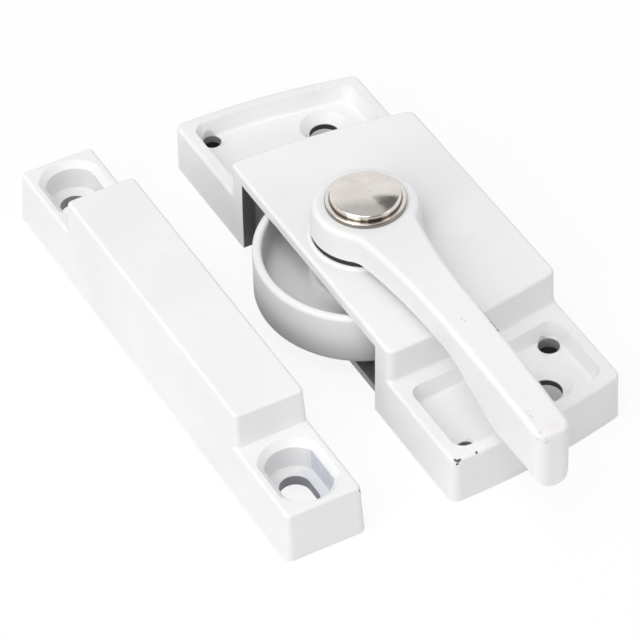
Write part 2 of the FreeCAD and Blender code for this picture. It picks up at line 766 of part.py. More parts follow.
def make_handle():
    body = new_body("handle")
    tip_top = HUB_TOP - D.arm_tip_drop
    side = new_sketch(body, "arm_side", "YZ_Plane")
    run = D.arm_reach - D.arm_middle_reach
    droop_radius = (run * run + D.arm_tip_drop * D.arm_tip_drop) / (D.arm_tip_drop * 2)
    corners = [
        (-D.arm_root_reach, HUB_TOP),
        (-D.arm_middle_reach, HUB_TOP),
        (-D.arm_reach, tip_top),
        (-D.arm_reach, HUB_BOTTOM - D.arm_pad_depth),
        (-D.arm_heel_reach, HUB_BOTTOM - D.arm_heel_depth),
        (-D.arm_neck_reach, HUB_BOTTOM),
        (-D.arm_root_reach, HUB_BOTTOM),
    ]
    outline(side, corners, {1: (droop_radius, 1)})
    arm = pad(body, "arm", side, D.hub_radius * 2, midplane=True)

    def across(edge, place, slack=0.05):
        middle = edge.CenterOfMass
        straight = edge.BoundBox.XLength > SHORT and edge.BoundBox.YLength < FLAT
        return straight and near(middle.y, -place, slack)
    fillet(body, "arm_knees", arm, D.knee_radius, lambda edge:
           across(edge, D.arm_neck_reach.value) or across(edge, D.arm_heel_reach.value))

    plan = new_sketch(body, "arm_plan", offset=HUB_TOP)
    wide = D.hub_radius + 1
    far = D.arm_reach + 1
    rectangle(plan, -wide, wide, -far, as_size(1))
    half_root = D.arm_root_width / 2
    corner = D.tip_corner_radius
    corner_x = D.arm_tip_width / 2 - corner
    corner_y = -(D.arm_reach - corner)
    taper = D.arm_taper
    tip = (corner_x + corner * cosine(taper), corner_y - corner * sine(taper))
    middle = (tip[0] + (-D.arm_middle_reach - tip[1]) * tangent(taper), -D.arm_middle_reach)
    widening = half_root - middle[0]
    flare = D.arm_middle_reach - D.arm_root_reach
    flare_radius = (widening * widening + flare * flare) / (
        (widening * cosine(taper) - flare * sine(taper)) * 2)
    corners = [
        tip, middle, (half_root, -D.arm_root_reach), (-half_root, -D.arm_root_reach),
        (-middle[0], middle[1]), (-tip[0], tip[1]),
        (-corner_x, -D.arm_reach), (corner_x, -D.arm_reach),
    ]
    outline(plan, corners, {
        1: (flare_radius, -1), 3: (flare_radius, -1), 5: (corner, 1), 7: (corner, 1),
    })
    pocket(body, "arm_sides", plan, HUB_TOP)

    below = new_sketch(body, "tip_round_plan", "XZ_Plane", offset=D.arm_reach)
    half_tip = D.arm_tip_width / 2
    low = HUB_BOTTOM - D.arm_pad_depth
    high = low + half_tip
    outside = half_tip * 2
    outline(below, [
        (-half_tip, high), (0, low), (half_tip, high), (outside, high),
        (outside, low - 1), (-outside, low - 1), (-outside, high),
    ], {0: (half_tip, 1), 1: (half_tip, 1)})
    pocket(body, "tip_round", below, D.arm_reach - D.arm_neck_reach, taper=taper)

    hub = new_sketch(body, "hub_profile", "XZ_Plane")
    bore = D.pivot_screw_diameter / 2 + D.running_clearance
    outline(hub, [
        (bore, CAM_HUB_TOP),
        (D.journal_radius, CAM_HUB_TOP),
        (D.journal_radius, HUB_BOTTOM),
        (D.hub_radius, HUB_BOTTOM),
        (D.hub_top_radius, HUB_TOP),
        (D.recess_radius, HUB_TOP),
        (D.recess_radius, HUB_TOP - D.recess_depth),
        (bore, HUB_TOP - D.recess_depth),
    ])
    hub_turned = revolve(body, "hub", hub)

    def junction(edge):
        box = edge.BoundBox
        return (near(box.ZMin, HUB_BOTTOM.value, 0.1) and near(box.ZMax, HUB_TOP.value, 0.1)
                and abs(edge.CenterOfMass.x) > D.journal_radius.value
                and box.XLength < SHORT and box.YLength < SHORT)
    joined = fillet(body, "hub_junctions", hub_turned, D.hub_fillet_radius, junction)

    def on_top(vertex):
        past = max(-vertex.Y - D.arm_middle_reach.value, 0)
        sag = droop_radius.value - math.sqrt(droop_radius.value ** 2 - past ** 2)
        return near(vertex.Z, HUB_TOP.value - sag)

    def top_rim(edge):
        across_arm = edge.BoundBox.YLength < FLAT
        at_tip = near(edge.CenterOfMass.y, -D.arm_reach.value)
        outside_recess = not near(edge.BoundBox.XLength, 2 * D.recess_radius.value)
        return (all(on_top(vertex) for vertex in edge.Vertexes) and outside_recess
                and (at_tip or not across_arm))
    fillet(body, "handle_rim", joined, D.arm_edge_radius, top_rim)

    tang = new_sketch(body, "tang_plan", offset=CAM_HUB_TOP - tang_length())
    half = D.tang_size / 2
    rectangle(tang, -half, half, -half, half)
    circle(tang, (0, 0), bore)
    pad(body, "tang", tang, tang_length() + OVERLAP)


def tang_length():
    """The square tang stops short of the cam's recess, so that the nut clamps the cam."""
    return D.cam_hub_height - D.cam_recess_depth - D.running_clearance


def make_cam():
    body = new_body("cam")
    centre = -D.cam_eccentricity
    tail = D.cam_tail
    reach = tail - centre
    outer = D.cam_radius
    inner = D.cam_radius - D.cam_wall
    edge_out = root(outer * outer - reach * reach)
    edge_in = root(inner * inner - reach * reach)

    sketch = new_sketch(body, "floor_plan", offset=D.cam_bottom_height)
    floor_arc(sketch, centre, outer, tail, edge_out)
    pad(body, "floor", sketch, D.cam_floor)

    sketch = new_sketch(body, "wall_plan", offset=D.cam_bottom_height)
    left = centre - outer
    left_in = centre - inner
    corners = [(tail, edge_out), (left, as_size(0)), (tail, -edge_out),
               (tail, -edge_in), (left_in, as_size(0)), (tail, edge_in)]
    outline(sketch, corners, {0: (outer, 1), 1: (outer, 1), 3: (inner, -1), 4: (inner, -1)})
    wall = pad(body, "wall", sketch, D.cam_rim_height - D.cam_bottom_height)

    def rim(edge):
        return level_at(edge, D.cam_rim_height.value)
    rounded = fillet(body, "rim", wall, D.cam_wall * RIM_SHARE, rim)

    def foot(edge):
        return level_at(edge, D.cam_bottom_height.value) and edge.BoundBox.XLength > SHORT
    footed = fillet(body, "cam_foot", rounded, D.cam_foot_radius, foot)

    def inner_corner(edge):
        return level_at(edge, CAM_FLOOR_TOP.value) and edge.BoundBox.XLength > SHORT
    fillet(body, "cam_floor_edge", footed, D.cam_floor_radius, inner_corner)

    sketch = new_sketch(body, "cam_hub_plan", offset=D.cam_bottom_height)
    circle(sketch, (0, 0), D.cam_hub_radius)
    hub = pad(body, "cam_hub", sketch, D.cam_hub_height)
    fillet(body, "cam_hub_rim", hub, D.cam_hub_edge_radius,
           lambda edge: is_circle(edge, D.cam_hub_radius.value, CAM_HUB_TOP.value))

    sketch = new_sketch(body, "peg_plan", offset=CAM_FLOOR_TOP - OVERLAP)
    ring_sector(sketch, D.stop_radius, D.stop_width, as_size(PEG_ANGLE), D.peg_half_angle)
    pad(body, "peg", sketch, D.cam_rim_height - CAM_FLOOR_TOP + OVERLAP)

    sketch = new_sketch(body, "tang_hole_plan", offset=CAM_HUB_TOP)
    half = D.tang_size / 2 + D.fit_clearance
    rectangle(sketch, -half, half, -half, half)
    pocket(body, "tang_hole", sketch, D.cam_hub_height + RUN_OUT)

    sketch = new_sketch(body, "nut_recess_plan", offset=D.cam_bottom_height)
    circle(sketch, (0, 0), D.cam_recess_radius)
    pocket(body, "nut_recess", sketch, D.cam_recess_depth, upward=True)

    for end, side in ((1, "far"), (-1, "near")):
        dimple = body.newObject("PartDesign::SubtractiveEllipsoid", side + "_dimple")
        dimple.AttachmentSupport = [(origin_plane(body, "XY_Plane"), "")]
        dimple.MapMode = "FlatFace"
        bind(dimple, "AttachmentOffset.Base.y", D.detent_radius * end)
        bind(dimple, "AttachmentOffset.Base.z", D.cam_bottom_height)
        bind(dimple, "Radius1", D.detent_dome_height + D.detent_clearance)
        bind(dimple, "Radius2", D.detent_dome_radius + D.detent_clearance)
        bind(dimple, "Radius3", D.detent_dome_radius + D.detent_clearance)
        check_removes(body, dimple)


def floor_arc(sketch, centre, radius, tail, edge):
    left = centre - radius
    corners = [(tail, edge), (left, as_size(0)), (tail, -edge)]
    outline(sketch, corners, {0: (radius, 1), 1: (radius, 1)})


def place(thing, x=0, y=0, z=0):
    for axis, value in (("x", x), ("y", y), ("z", z)):
        bind(thing, "Placement.Base." + axis, value)


def primitive(kind, name, **sizes):
    thing = doc.addObject("Part::" + kind, name)
    for key, value in sizes.items():
        bind(thing, key, value)
    return thing


def make_plate_screws():
    """Four slotted countersunk screws, heads flush with the underside of the base plate."""
    shank = D.plate_screw_shank - D.fit_clearance
    head = D.plate_screw_head
    slot_length = head * 3
    screws = []
    for number, (x, y, _) in enumerate(PLATE_SCREWS, start=1):
        tag = "_" + str(number)
        cone = primitive("Cone", "screw_head" + tag, Radius1=head, Radius2=shank,
                         Height=head - shank)
        body = primitive("Cylinder", "screw_shank" + tag, Radius=shank,
                         Height=D.plate_screw_length + D.base_plate_thickness
                         - D.plate_screw_end_gap)
        slot = primitive("Box", "screw_slot" + tag, Length=slot_length, Width=D.screw_slot,
                         Height=D.screw_slot)
        for piece in (cone, body):
            place(piece, x, y)
        place(slot, x - slot_length / 2, y - D.screw_slot / 2, 0)
        joined = doc.addObject("Part::MultiFuse", "screw_blank" + tag)
        joined.Shapes = [cone, body]
        screw = doc.addObject("Part::Cut", "screw" + tag)
        screw.Base = joined
        screw.Tool = slot
        screws.append(screw)
    group = doc.addObject("Part::Compound", "plate_screws")
    group.Label = "plate_screws"
    group.Links = screws


def make_detent_spring():
    body = new_body("detent_spring")
    seat = D.base_plate_thickness
    crest = D.cam_bottom_height - D.detent_clearance - D.detent_dome_height - D.leaf_thickness
    line = [
        (D.leaf_reach, seat),
        (D.leaf_reach - D.leaf_flat, seat),
        (D.leaf_crest, crest),
        (-D.leaf_crest, crest),
        (-(D.leaf_crest + D.leaf_lip), crest - D.leaf_lip_drop),
    ]
    above = [(x, z + D.leaf_thickness) for x, z in reversed(line)]
    sketch = new_sketch(body, "leaf_side", "XZ_Plane", offset=-D.detent_radius)
    outline(sketch, line + above)
    pad(body, "leaf", sketch, D.leaf_width, midplane=True)

    dome = body.newObject("PartDesign::AdditiveEllipsoid", "detent_dome")
    dome.AttachmentSupport = [(origin_plane(body, "XY_Plane"), "")]
    dome.MapMode = "FlatFace"
    bind(dome, "AttachmentOffset.Base.y", D.detent_radius)
    bind(dome, "AttachmentOffset.Base.z", crest + D.leaf_thickness)
    bind(dome, "Radius1", D.detent_dome_height)
    bind(dome, "Radius2", D.detent_dome_radius)
    bind(dome, "Radius3", D.detent_dome_radius)

    sketch = new_sketch(body, "leaf_rivet_holes_plan", offset=seat + D.leaf_thickness)
    for x, y in rivet_places():
        circle(sketch, (x, y), D.rivet_radius + D.fit_clearance)
    pocket(body, "leaf_rivet_holes", sketch, D.leaf_thickness + RUN_OUT)


def make_detent_rivets():
    rivets = []
    top = D.base_plate_thickness + D.leaf_thickness
    for number, (x, y) in enumerate(rivet_places(), start=1):
        tag = "_" + str(number)
        shank = primitive("Cylinder", "rivet_shank" + tag, Radius=D.rivet_radius, Height=top)
        head = primitive("Cylinder", "rivet_head" + tag, Radius=D.rivet_head_radius,
                         Height=D.rivet_head_height)
        place(shank, x, y)
        place(head, x, y, top)
        rivet = doc.addObject("Part::MultiFuse", "rivet" + tag)
        rivet.Shapes = [shank, head]
        rivets.append(rivet)
    group = doc.addObject("Part::Compound", "detent_rivets")
    group.Label = "detent_rivets"
    group.Links = rivets


def rounded_rectangle(sketch, half_x, low_y, high_y, corner):
    corners = [
        (-half_x + corner, low_y), (half_x - corner, low_y), (half_x, low_y + corner),
        (half_x, high_y - corner), (half_x - corner, high_y), (-half_x + corner, high_y),
        (-half_x, high_y - corner), (-half_x, low_y + corner),
    ]
    outline(sketch, corners, {index: (corner, 1) for index in (1, 3, 5, 7)})


def keeper_bore(sketch, end, grow):
    """The plan of a counterbore with flat sides and round ends, grown by a margin."""
    half = D.keeper_bore_width / 2 + grow
    cap = D.keeper_bore_end_radius + grow
    middle = D.keeper_bore_spacing / 2
    reach = D.keeper_bore_length / 2 - D.keeper_bore_end_radius + root(cap * cap - half * half)
    corners = [(-half, middle - reach), (half, middle - reach),
               (half, middle + reach), (-half, middle + reach)]
    outline(sketch, [mirrored(corner, end) for corner in corners], {0: (cap, end), 2: (cap, end)})


def make_keeper():
    body = new_body("keeper")
    half_width = D.keeper_width / 2
    half_length = D.keeper_length / 2
    half_block = D.keeper_block_length / 2
    top = D.keeper_flange_height
    lean = tangent(D.keeper_draft)

    sketch = new_sketch(body, "keeper_plan")
    rounded_rectangle(sketch, half_width, -half_length, half_length,
                      D.keeper_corner_radius + top * lean)
    flanges = pad(body, "keeper_flanges", sketch, top, D.keeper_draft)
    fillet(body, "keeper_flange_rim", flanges, D.keeper_edge_radius,
           lambda edge: level_at(edge, top.value))
    sketch = new_sketch(body, "keeper_block_plan")
    rounded_rectangle(sketch, half_width, -half_block, half_block,
                      D.keeper_corner_radius + D.keeper_block_height * lean)
    block = pad(body, "keeper_block", sketch, D.keeper_block_height, D.keeper_draft)
    fillet(body, "keeper_block_rim", block, D.keeper_edge_radius,
           lambda edge: level_at(edge, D.keeper_block_height.value))

    for end, side in ((1, "far"), (-1, "near")):
        sketch = new_sketch(body, side + "_bore_lead_plan", offset=top)
        keeper_bore(sketch, end, D.keeper_bore_chamfer)
        pocket(body, side + "_bore_lead", sketch, D.keeper_bore_chamfer, taper=D.keeper_bore_chamfer_angle)
        sketch = new_sketch(body, side + "_bore_plan", offset=top)
        keeper_bore(sketch, end, as_size(0))
        pocket(body, side + "_bore", sketch, D.keeper_bore_depth)

    sketch = new_sketch(body, "keeper_hollow_plan")
    wall = D.keeper_wall
    rounded_rectangle(sketch, half_width - wall, -(half_block - wall), half_block - wall,
                      D.keeper_corner_radius + D.keeper_block_height * lean)
    pocket(body, "keeper_hollow", sketch, D.keeper_block_height - wall, upward=True,
           taper=D.keeper_draft)
    for end, side in ((1, "far"), (-1, "near")):
        sketch = new_sketch(body, side + "_keeper_core_plan")
        rectangle(sketch, -(half_width - wall), half_width - wall,
                  half_block * end, (half_length - wall) * end)
        pocket(body, side + "_keeper_core", sketch, D.keeper_flange_core, upward=True)

    for end, side in ((1, "far"), (-1, "near")):
        half_slot = D.keeper_slot_width / 2
        middle = D.keeper_bore_spacing / 2
        high = middle + D.keeper_slot_length / 2
        low = middle - D.keeper_slot_length / 2
        sketch = new_sketch(body, side + "_slot_plan", offset=top)
        points = [(-half_slot, low + half_slot), (0, low), (half_slot, low + half_slot),
                  (half_slot, high - half_slot), (0, high), (-half_slot, high - half_slot)]
        outline(sketch, [mirrored(point, end) for point in points], {
            0: (half_slot, end), 1: (half_slot, end), 3: (half_slot, end), 4: (half_slot, end)})
        pocket(body, side + "_slot", sketch, top + RUN_OUT)

    sketch = new_sketch(body, "keeper_mouth_plan", "YZ_Plane")
    half_mouth = D.keeper_mouth_length / 2
    rectangle(sketch, -half_mouth, half_mouth, as_size(-1), D.keeper_lip_height)
    pocket(body, "keeper_mouth", sketch, D.keeper_width, upward=True)
    place(body, FRONT - D.keeper_gap - half_width, D.keeper_shift)


make_sheet()
make_housing()
make_base_plate()
make_plate_screws()
make_detent_spring()
make_detent_rivets()
make_washers_and_bush()
make_coil_spring()
make_pivot_screw()
make_pivot_nut()
make_cap()
make_handle()
make_cam()
make_keeper()
doc.recompute()

os.makedirs("parts", exist_ok=True)
for thing in doc.Objects:
    if "Invalid" in thing.State or "Error" in thing.State:
        raise RuntimeError(thing.Label + " did not build: " + thing.getStatusString())
sub_parts = [thing for thing in doc.Objects
             if thing.TypeId in ("PartDesign::Body", "Part::Compound")]
for thing in sub_parts:
    shape = thing.Shape
    if shape.isNull() or not shape.isValid():
        raise RuntimeError(thing.Label + " has no valid shape")
for thing in sub_parts:
    thing.Shape.exportStep("parts/" + thing.Label + ".step")
    box = thing.Shape.BoundBox
    corners = (box.XMin, box.XMax, box.YMin, box.YMax, box.ZMin, box.ZMax)
    print(thing.Label, round(thing.Shape.Volume, 1), [round(value, 2) for value in corners])
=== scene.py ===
import math

import bpy
from mathutils import Matrix, Vector

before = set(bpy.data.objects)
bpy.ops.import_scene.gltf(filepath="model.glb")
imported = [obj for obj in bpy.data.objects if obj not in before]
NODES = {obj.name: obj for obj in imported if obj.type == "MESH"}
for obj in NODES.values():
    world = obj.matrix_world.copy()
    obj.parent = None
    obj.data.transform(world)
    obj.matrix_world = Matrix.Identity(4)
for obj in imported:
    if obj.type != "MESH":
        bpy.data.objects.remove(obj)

MM = 0.001
WHITE = (1.0, 1.0, 1.0, 1.0)
UPWARD = Vector((0, 0, 1))


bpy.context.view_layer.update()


class Shader:
    """A small helper that adds and links shader nodes for a material or the world."""

    def __init__(self, owner, coordinate="Object", blank=False):
        self.owner = owner
        owner.use_nodes = True
        self.tree = owner.node_tree
        if blank:
            self.tree.nodes.clear()
        self.place = self.add("ShaderNodeTexCoord").outputs[coordinate]

    def add(self, kind, **values):
        node = self.tree.nodes.new(kind)
        for key, value in values.items():
            setattr(node, key, value)
        return node

    def link(self, source, target):
        if isinstance(source, bpy.types.NodeSocket):
            self.tree.links.new(source, target)
        else:
            target.default_value = source

    def math(self, operation, *values):
        node = self.add("ShaderNodeMath", operation=operation)
        for value, socket in zip(values, node.inputs):
            self.link(value, socket)
        return node.outputs[0]

    def opposite(self, mask):
        return self.math("SUBTRACT", 1.0, mask)

    def greatest(self, masks):
        total = masks[0]
        for mask in masks[1:]:
            total = self.math("MAXIMUM", total, mask)
        return total

    def noise(self, size_mm, detail=2.0, roughness=0.5, offset=0.0):
        """Noise whose cells are about size_mm wide, between 0 and 1."""
        moved = self.add("ShaderNodeVectorMath", operation="ADD")
        self.link(self.place, moved.inputs[0])
        moved.inputs[1].default_value = (offset, offset * 0.7, -offset * 0.4)
        node = self.add("ShaderNodeTexNoise")
        self.link(moved.outputs[0], node.inputs["Vector"])
        node.inputs["Scale"].default_value = 1.0 / (size_mm * MM)
        node.inputs["Detail"].default_value = detail
        node.inputs["Roughness"].default_value = roughness
        return node.outputs["Fac"]

    def lines(self, scale, distortion, detail=2.0, **values):
        """A pattern of bands or rings, between 0 and 1."""
        node = self.add("ShaderNodeTexWave", **values)
        self.link(self.place, node.inputs["Vector"])
        node.inputs["Scale"].default_value = scale
        node.inputs["Distortion"].default_value = distortion
        node.inputs["Detail"].default_value = detail
        return node.outputs["Fac"]

    def ramp(self, value, low, high, out_low=0.0, out_high=1.0):
        node = self.add("ShaderNodeMapRange")
        node.interpolation_type = "SMOOTHSTEP"
        for socket, number in zip(node.inputs, (value, low, high, out_low, out_high)):
            self.link(number, socket)
        return node.outputs[0]

    def mix(self, share, first, second):
        """A blend of two colours, each a socket or three numbers."""
        node = self.add("ShaderNodeMix", data_type="RGBA")
        self.link(share, node.inputs[0])
        for value, socket in ((first, node.inputs[6]), (second, node.inputs[7])):
            self.link((*value, 1.0) if isinstance(value, tuple) else value, socket)
        return node.outputs[2]

    def choose(self, share, first, second):
        """A blend of two numbers."""
        node = self.add("ShaderNodeMix", data_type="FLOAT")
        for value, socket in zip((share, first, second), (0, 2, 3)):
            self.link(value, node.inputs[socket])
        return node.outputs[0]

    def along(self, direction):
        """How far the place lies along a direction."""
        node = self.add("ShaderNodeVectorMath", operation="DOT_PRODUCT")
        self.link(self.place, node.inputs[0])
        node.inputs[1].default_value = direction
        return node.outputs["Value"]

    def spot(self, centre_mm, radius_mm, ragged_mm, soft_mm, grain_mm, stretch=(1, 1, 1)):
        """A mask round a place on the part, with a ragged rim."""
        moved = self.add("ShaderNodeVectorMath", operation="SUBTRACT")
        self.link(self.place, moved.inputs[0])
        moved.inputs[1].default_value = [value * MM for value in centre_mm]
        scaled = self.add("ShaderNodeVectorMath", operation="DIVIDE")
        self.link(moved.outputs[0], scaled.inputs[0])
        scaled.inputs[1].default_value = stretch
        length = self.add("ShaderNodeVectorMath", operation="LENGTH")
        self.link(scaled.outputs[0], length.inputs[0])
        rough = self.math("MULTIPLY", self.math("SUBTRACT", self.noise(grain_mm, 3.0), 0.5),
                          ragged_mm * MM * 2)
        reach = self.math("ADD", length.outputs["Value"], rough)
        return self.ramp(reach, (radius_mm + soft_mm) * MM, (radius_mm - soft_mm) * MM)

    def spots(self, marks, ragged_mm, soft_mm, grain_mm):
        """One mask for marks, each a centre, a radius and, where it isn't round, a stretch."""
        return self.greatest([self.spot(centre, radius, ragged_mm, soft_mm, grain_mm, *stretch)
                              for centre, radius, *stretch in marks])

    def box(self, low_mm, high_mm, mirror_mm, soft_mm=0.06):
        """A mask inside a box and its mirror image across the plane y = mirror_mm."""
        split = self.add("ShaderNodeSeparateXYZ")
        self.link(self.place, split.inputs[0])
        x, y, z = split.outputs
        aside = self.math("ABSOLUTE", self.math("SUBTRACT", y, mirror_mm * MM))
        past = []
        for value, low, high in zip((x, aside, z), low_mm, high_mm):
            reach = self.math("ABSOLUTE", self.math("SUBTRACT", value, (low + high) / 2 * MM))
            past.append(self.math("SUBTRACT", reach, (high - low) / 2 * MM))
        return self.ramp(self.greatest(past), soft_mm * MM, -soft_mm * MM)

    def inside(self, radius_mm):
        """A mask within a radius of the pivot axis."""
        soft_mm = 0.05
        flat = self.add("ShaderNodeVectorMath", operation="MULTIPLY")
        self.link(self.place, flat.inputs[0])
        flat.inputs[1].default_value = (1, 1, 0)
        length = self.add("ShaderNodeVectorMath", operation="LENGTH")
        self.link(flat.outputs[0], length.inputs[0])
        return self.ramp(length.outputs["Value"],
                         (radius_mm + soft_mm) * MM, (radius_mm - soft_mm) * MM)

    def bump(self, height, distance_mm, under=None):
        node = self.add("ShaderNodeBump")
        node.inputs["Strength"].default_value = 1.0
        node.inputs["Distance"].default_value = distance_mm * MM
        self.link(height, node.inputs["Height"])
        if under is not None:
            self.link(under, node.inputs["Normal"])
        return node.outputs["Normal"]

    def finish(self, colour, roughness, normal, metallic=0.0, **constants):
        sockets = self.tree.nodes["Principled BSDF"].inputs
        for value, name in ((colour, "Base Color"), (roughness, "Roughness"),
                            (metallic, "Metallic"), (normal, "Normal")):
            self.link(value, sockets[name])
        for name, value in constants.items():
            sockets[name.replace("_", " ")].default_value = value
        return self.owner


# Colours of the enamel and of what shows on it and through it
ENAMEL_COOL = (0.835, 0.838, 0.842)
ENAMEL_WARM = (0.875, 0.874, 0.870)
ENAMEL_DULL = (0.80, 0.80, 0.80)
PIT = (0.45, 0.44, 0.43)
# Painted shade towards the bottom of a piece
LOW_SHADE = (0.22, 0.22, 0.22)
# Painted blue-grey shade, laid in bands
BANDED_SHADE = (0.50, 0.53, 0.63)
SMEAR = (0.83, 0.62, 0.60)
RUBBED = (0.40, 0.40, 0.41)
METAL_DARK = (0.055, 0.036, 0.034)
METAL_BROWN = (0.20, 0.15, 0.14)


def enamel(name, chips=(), scuffs=(), stains=(), shade_boxes=(), mirror_mm=0.0, low_shade=None, banded_shade=None):
    """Baked white enamel with a faint orange peel, pits, specks and the wear of its piece.

    shade_boxes lists boxes of painted shade in holes, slots and hollows, each with the colour
    inside it, and mirror_mm is the plane that mirrors them. low_shade is painted shade that
    darkens towards
    the bottom: the height where it is thickest, the height where it ends, its share and the radius
    outside which it sits. banded_shade is a box of painted shade laid in bands, with the plane
    that mirrors it.
    """
    shader = Shader(bpy.data.materials.new(name))
    cloud = shader.noise(14.0)
    fine = shader.noise(2.6, 3.0, offset=0.3)
    colour = shader.mix(shader.ramp(cloud, 0.3, 0.7), ENAMEL_COOL, ENAMEL_WARM)
    colour = shader.mix(shader.ramp(fine, 0.62, 0.8, 0.0, 0.35), colour, ENAMEL_DULL)
    pits = shader.ramp(shader.noise(0.9, offset=1.7), 0.80, 0.84)
    colour = shader.mix(shader.math("MULTIPLY", pits, 0.30), colour, PIT)
    # Painted shade, darker towards the bottom, outside a radius
    if low_shade:
        low, high, share, inner = low_shade
        depth = shader.ramp(shader.along(UPWARD), low * MM, high * MM, share, 0.0)
        outside = shader.opposite(shader.inside(inner))
        colour = shader.mix(shader.math("MULTIPLY", depth, outside), colour, LOW_SHADE)
    # Painted shade laid in bands, inside a box
    if banded_shade:
        lines = shader.lines(0.9 / MM, 1.2, 1.0, wave_type="BANDS", bands_direction="X")
        banded = shader.math("MULTIPLY", shader.box(*banded_shade, soft_mm=0.5),
                          shader.ramp(lines, 0.1, 0.9, 0.25, 0.65))
        colour = shader.mix(banded, colour, BANDED_SHADE)
    # Painted shade inside boxes in holes, slots and hollows
    for low, high, within in shade_boxes:
        colour = shader.mix(shader.box(low, high, mirror_mm), colour, within)
    if stains:
        smear = shader.spots(stains, ragged_mm=0.5, soft_mm=0.6, grain_mm=0.9)
        colour = shader.mix(shader.math("MULTIPLY", smear, 0.28), colour, SMEAR)
    roughness = shader.ramp(fine, 0.25, 0.75, 0.46, 0.56)
    if scuffs:
        rub = shader.spots(scuffs, ragged_mm=0.35, soft_mm=0.25, grain_mm=0.45)
        broken = shader.ramp(shader.noise(0.35, 3.0, offset=2.9), 0.48, 0.62)
        rub = shader.math("MULTIPLY", rub, broken)
        colour = shader.mix(shader.math("MULTIPLY", rub, 0.42), colour, RUBBED)
        roughness = shader.math("ADD", roughness, shader.math("MULTIPLY", rub, 0.25))
    peel = shader.math("ADD", shader.noise(1.3, offset=0.9),
                       shader.math("MULTIPLY", shader.noise(0.45, offset=4.1), 0.35))
    normal = shader.bump(peel, 0.012)
    if chips:
        chipped = shader.spots(chips, ragged_mm=0.22, soft_mm=0.03, grain_mm=0.4)
        metal = shader.mix(shader.ramp(shader.noise(0.25, offset=5.3), 0.4, 0.6),
                           METAL_DARK, METAL_BROWN)
        colour = shader.mix(chipped, colour, metal)
        roughness = shader.math("ADD", roughness, shader.math("MULTIPLY", chipped, 0.2))
        normal = shader.bump(shader.opposite(chipped), 0.08, under=normal)
    return shader.finish(colour, roughness, normal, Specular_IOR_Level=0.33)


NICKEL_DARK = (0.72, 0.67, 0.63)
NICKEL_PALE = (0.79, 0.755, 0.72)
TARNISH = (0.48, 0.43, 0.37)
# Painted shade on the nickel
NICKEL_SHADE = (0.30, 0.27, 0.24)


def polished(name, unshaded_ring=None, unshaded_above=None):
    """Polished nickel with fine turning lines and tarnish, and painted shade
    outside the unshaded part.

    That part is a ring, given by its two radii, or all above a height.
    """
    shader = Shader(bpy.data.materials.new(name))
    haze = shader.noise(3.2, 3.0, offset=0.4)
    spots = shader.ramp(shader.noise(1.1, 4.0, 0.6, offset=2.2), 0.58, 0.75)
    colour = shader.mix(shader.ramp(haze, 0.3, 0.7), NICKEL_DARK, NICKEL_PALE)
    colour = shader.mix(shader.math("MULTIPLY", spots, 0.35), colour, TARNISH)
    roughness = shader.ramp(haze, 0.3, 0.75, 0.04, 0.10)
    rings = shader.lines(1400.0, 1.5, wave_type="RINGS", rings_direction="Z")
    if unshaded_ring:
        inner, outer = unshaded_ring
        unshaded = shader.math("SUBTRACT", shader.inside(outer), shader.inside(inner))
    else:
        soft_mm = 0.1
        unshaded = shader.ramp(shader.along(UPWARD),
                            (unshaded_above - soft_mm) * MM, (unshaded_above + soft_mm) * MM)
    # Painted shade outside the unshaded part
    colour = shader.mix(unshaded, NICKEL_SHADE, colour)
    scratch = shader.math("ADD", shader.math("MULTIPLY", rings, 0.3),
                          shader.noise(0.5, 4.0, 0.7, offset=3.1))
    return shader.finish(colour, roughness, shader.bump(scratch, 0.004), metallic=1.0)


STREAK_MM = 0.35
STREAK_SQUEEZE = (1.0, 0.08, 1.0)


def plated(name, low, high, roughness_low, roughness_high, metallic=1.0):
    """Rolled or turned metal with a dull plate, streaks along Y and small stains."""
    shader = Shader(bpy.data.materials.new(name))
    stretched = shader.add("ShaderNodeMapping")
    shader.link(shader.place, stretched.inputs["Vector"])
    stretched.inputs["Scale"].default_value = STREAK_SQUEEZE
    streaks = shader.add("ShaderNodeTexNoise")
    shader.link(stretched.outputs[0], streaks.inputs["Vector"])
    streaks.inputs["Scale"].default_value = 1.0 / (STREAK_MM * MM)
    streaks.inputs["Detail"].default_value = 3.0
    cloud = shader.noise(3.5, 3.0, offset=1.1)
    share = shader.math("ADD", shader.math("MULTIPLY", streaks.outputs["Fac"], 0.5),
                        shader.math("MULTIPLY", cloud, 0.5))
    colour = shader.mix(shader.ramp(share, 0.35, 0.65), low, high)
    roughness = shader.ramp(cloud, 0.3, 0.7, roughness_low, roughness_high)
    normal = shader.bump(streaks.outputs["Fac"], 0.006)
    return shader.finish(colour, roughness, normal, metallic=metallic)


def nylon(name, low, high):
    """Moulded nylon with a fine grain."""
    shader = Shader(bpy.data.materials.new(name))
    grain = shader.noise(0.5, 3.0)
    colour = shader.mix(shader.ramp(grain, 0.3, 0.7), low, high)
    roughness = shader.ramp(grain, 0.3, 0.7, 0.5, 0.65)
    return shader.finish(colour, roughness, shader.bump(grain, 0.01), Specular_IOR_Level=0.4)


# Wear and painted shade, with the centres and radii in millimetres on the part
LONG = (1, 3, 1)        # a mark that runs along the arm
UNDER = -1.0            # past the mounting plane, or past the mirror
# Colours of painted shade in holes and hollows: deep shade and a grey half shade
DEEP_SHADE = (0.030, 0.030, 0.034)
SHADED = (0.33, 0.33, 0.34)

